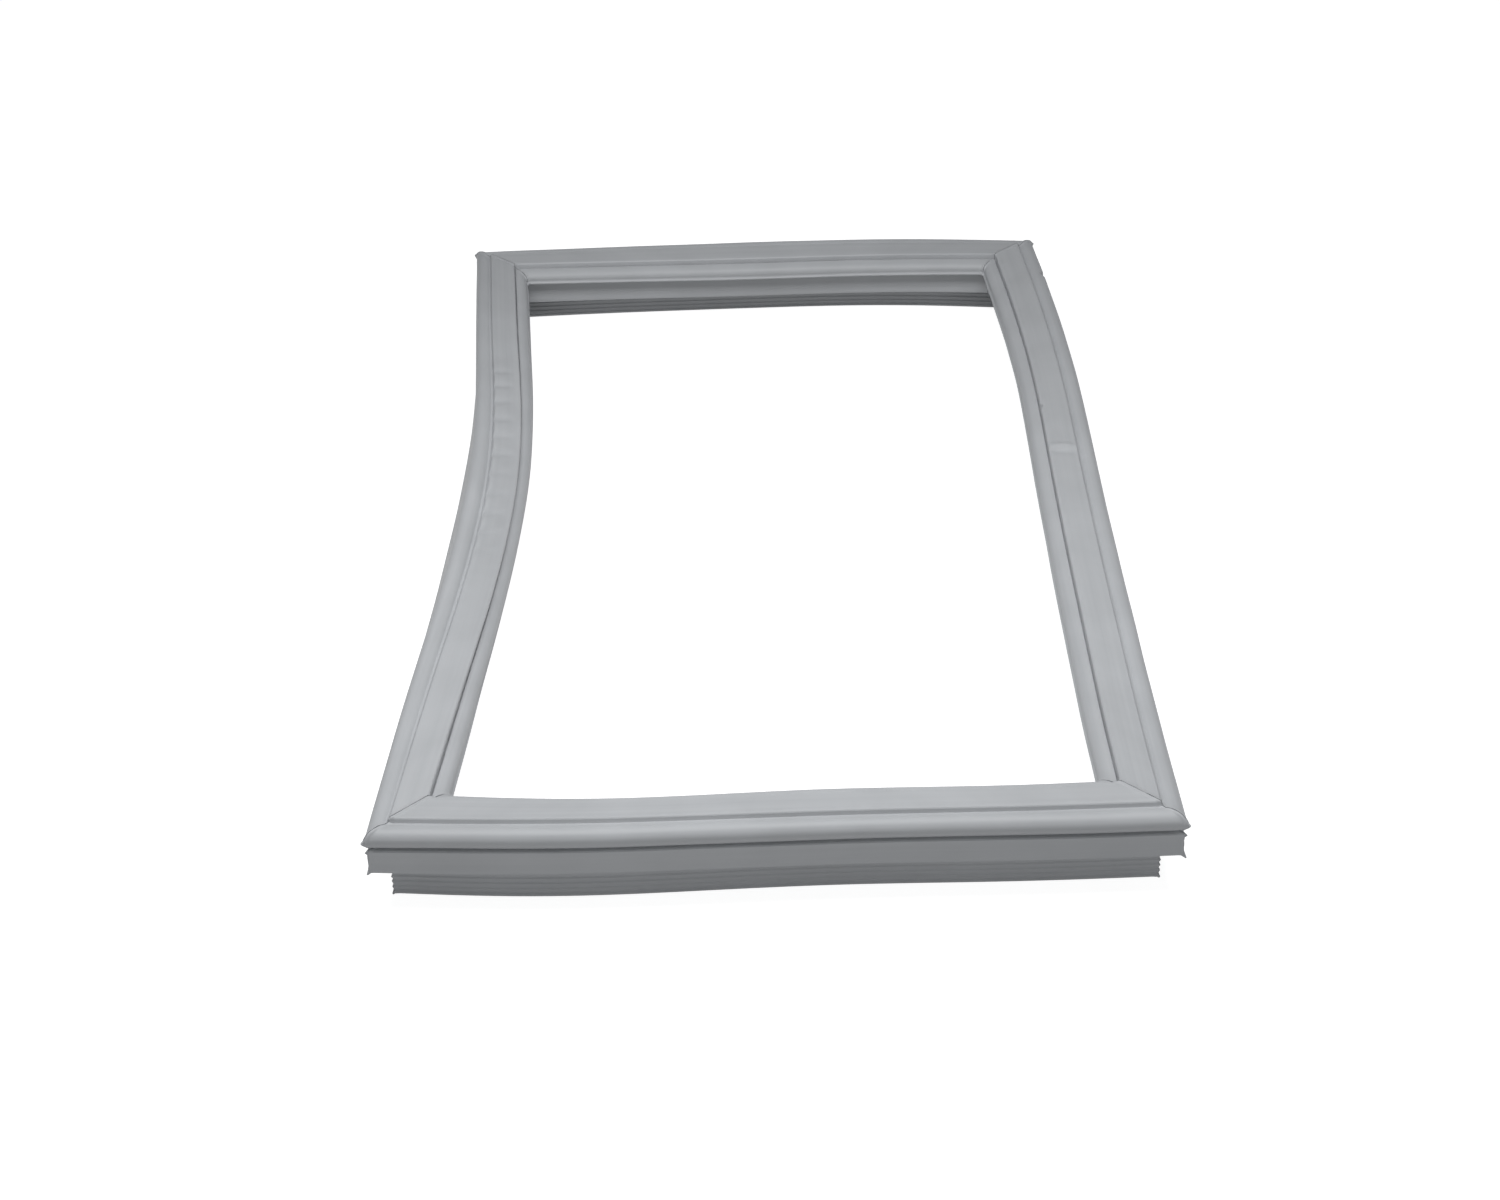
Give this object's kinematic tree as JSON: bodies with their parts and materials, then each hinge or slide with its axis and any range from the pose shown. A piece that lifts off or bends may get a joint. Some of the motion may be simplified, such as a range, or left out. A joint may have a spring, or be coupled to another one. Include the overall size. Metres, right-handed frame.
{
  "type": "refrigerator door gasket",
  "caption": "Grey vinyl magnetic door gasket for a small refrigerator door, push-in dart style, mitred and welded at the corners, slightly bowed as it lies loose.",
  "frame": {"origin": "middle of the outside of the frame, on the surface that the dart lies on", "axes": "+Z out of the flat magnet face, towards the cabinet when fitted; +Y along the long sides; +X along the short sides"},
  "size_m": [0.2826, 0.4894, 0.0329],
  "materials": {
    "vinyl": "satin",
    "magnet": "matte"
  },
  "bodies": {
    "root": {"profile_front": "vinyl", "profile_right": "vinyl", "profile_back": "vinyl", "profile_left": "vinyl", "magnet_front": "magnet", "magnet_right": "magnet", "magnet_back": "magnet", "magnet_left": "magnet"}
  },
  "joints": []
}
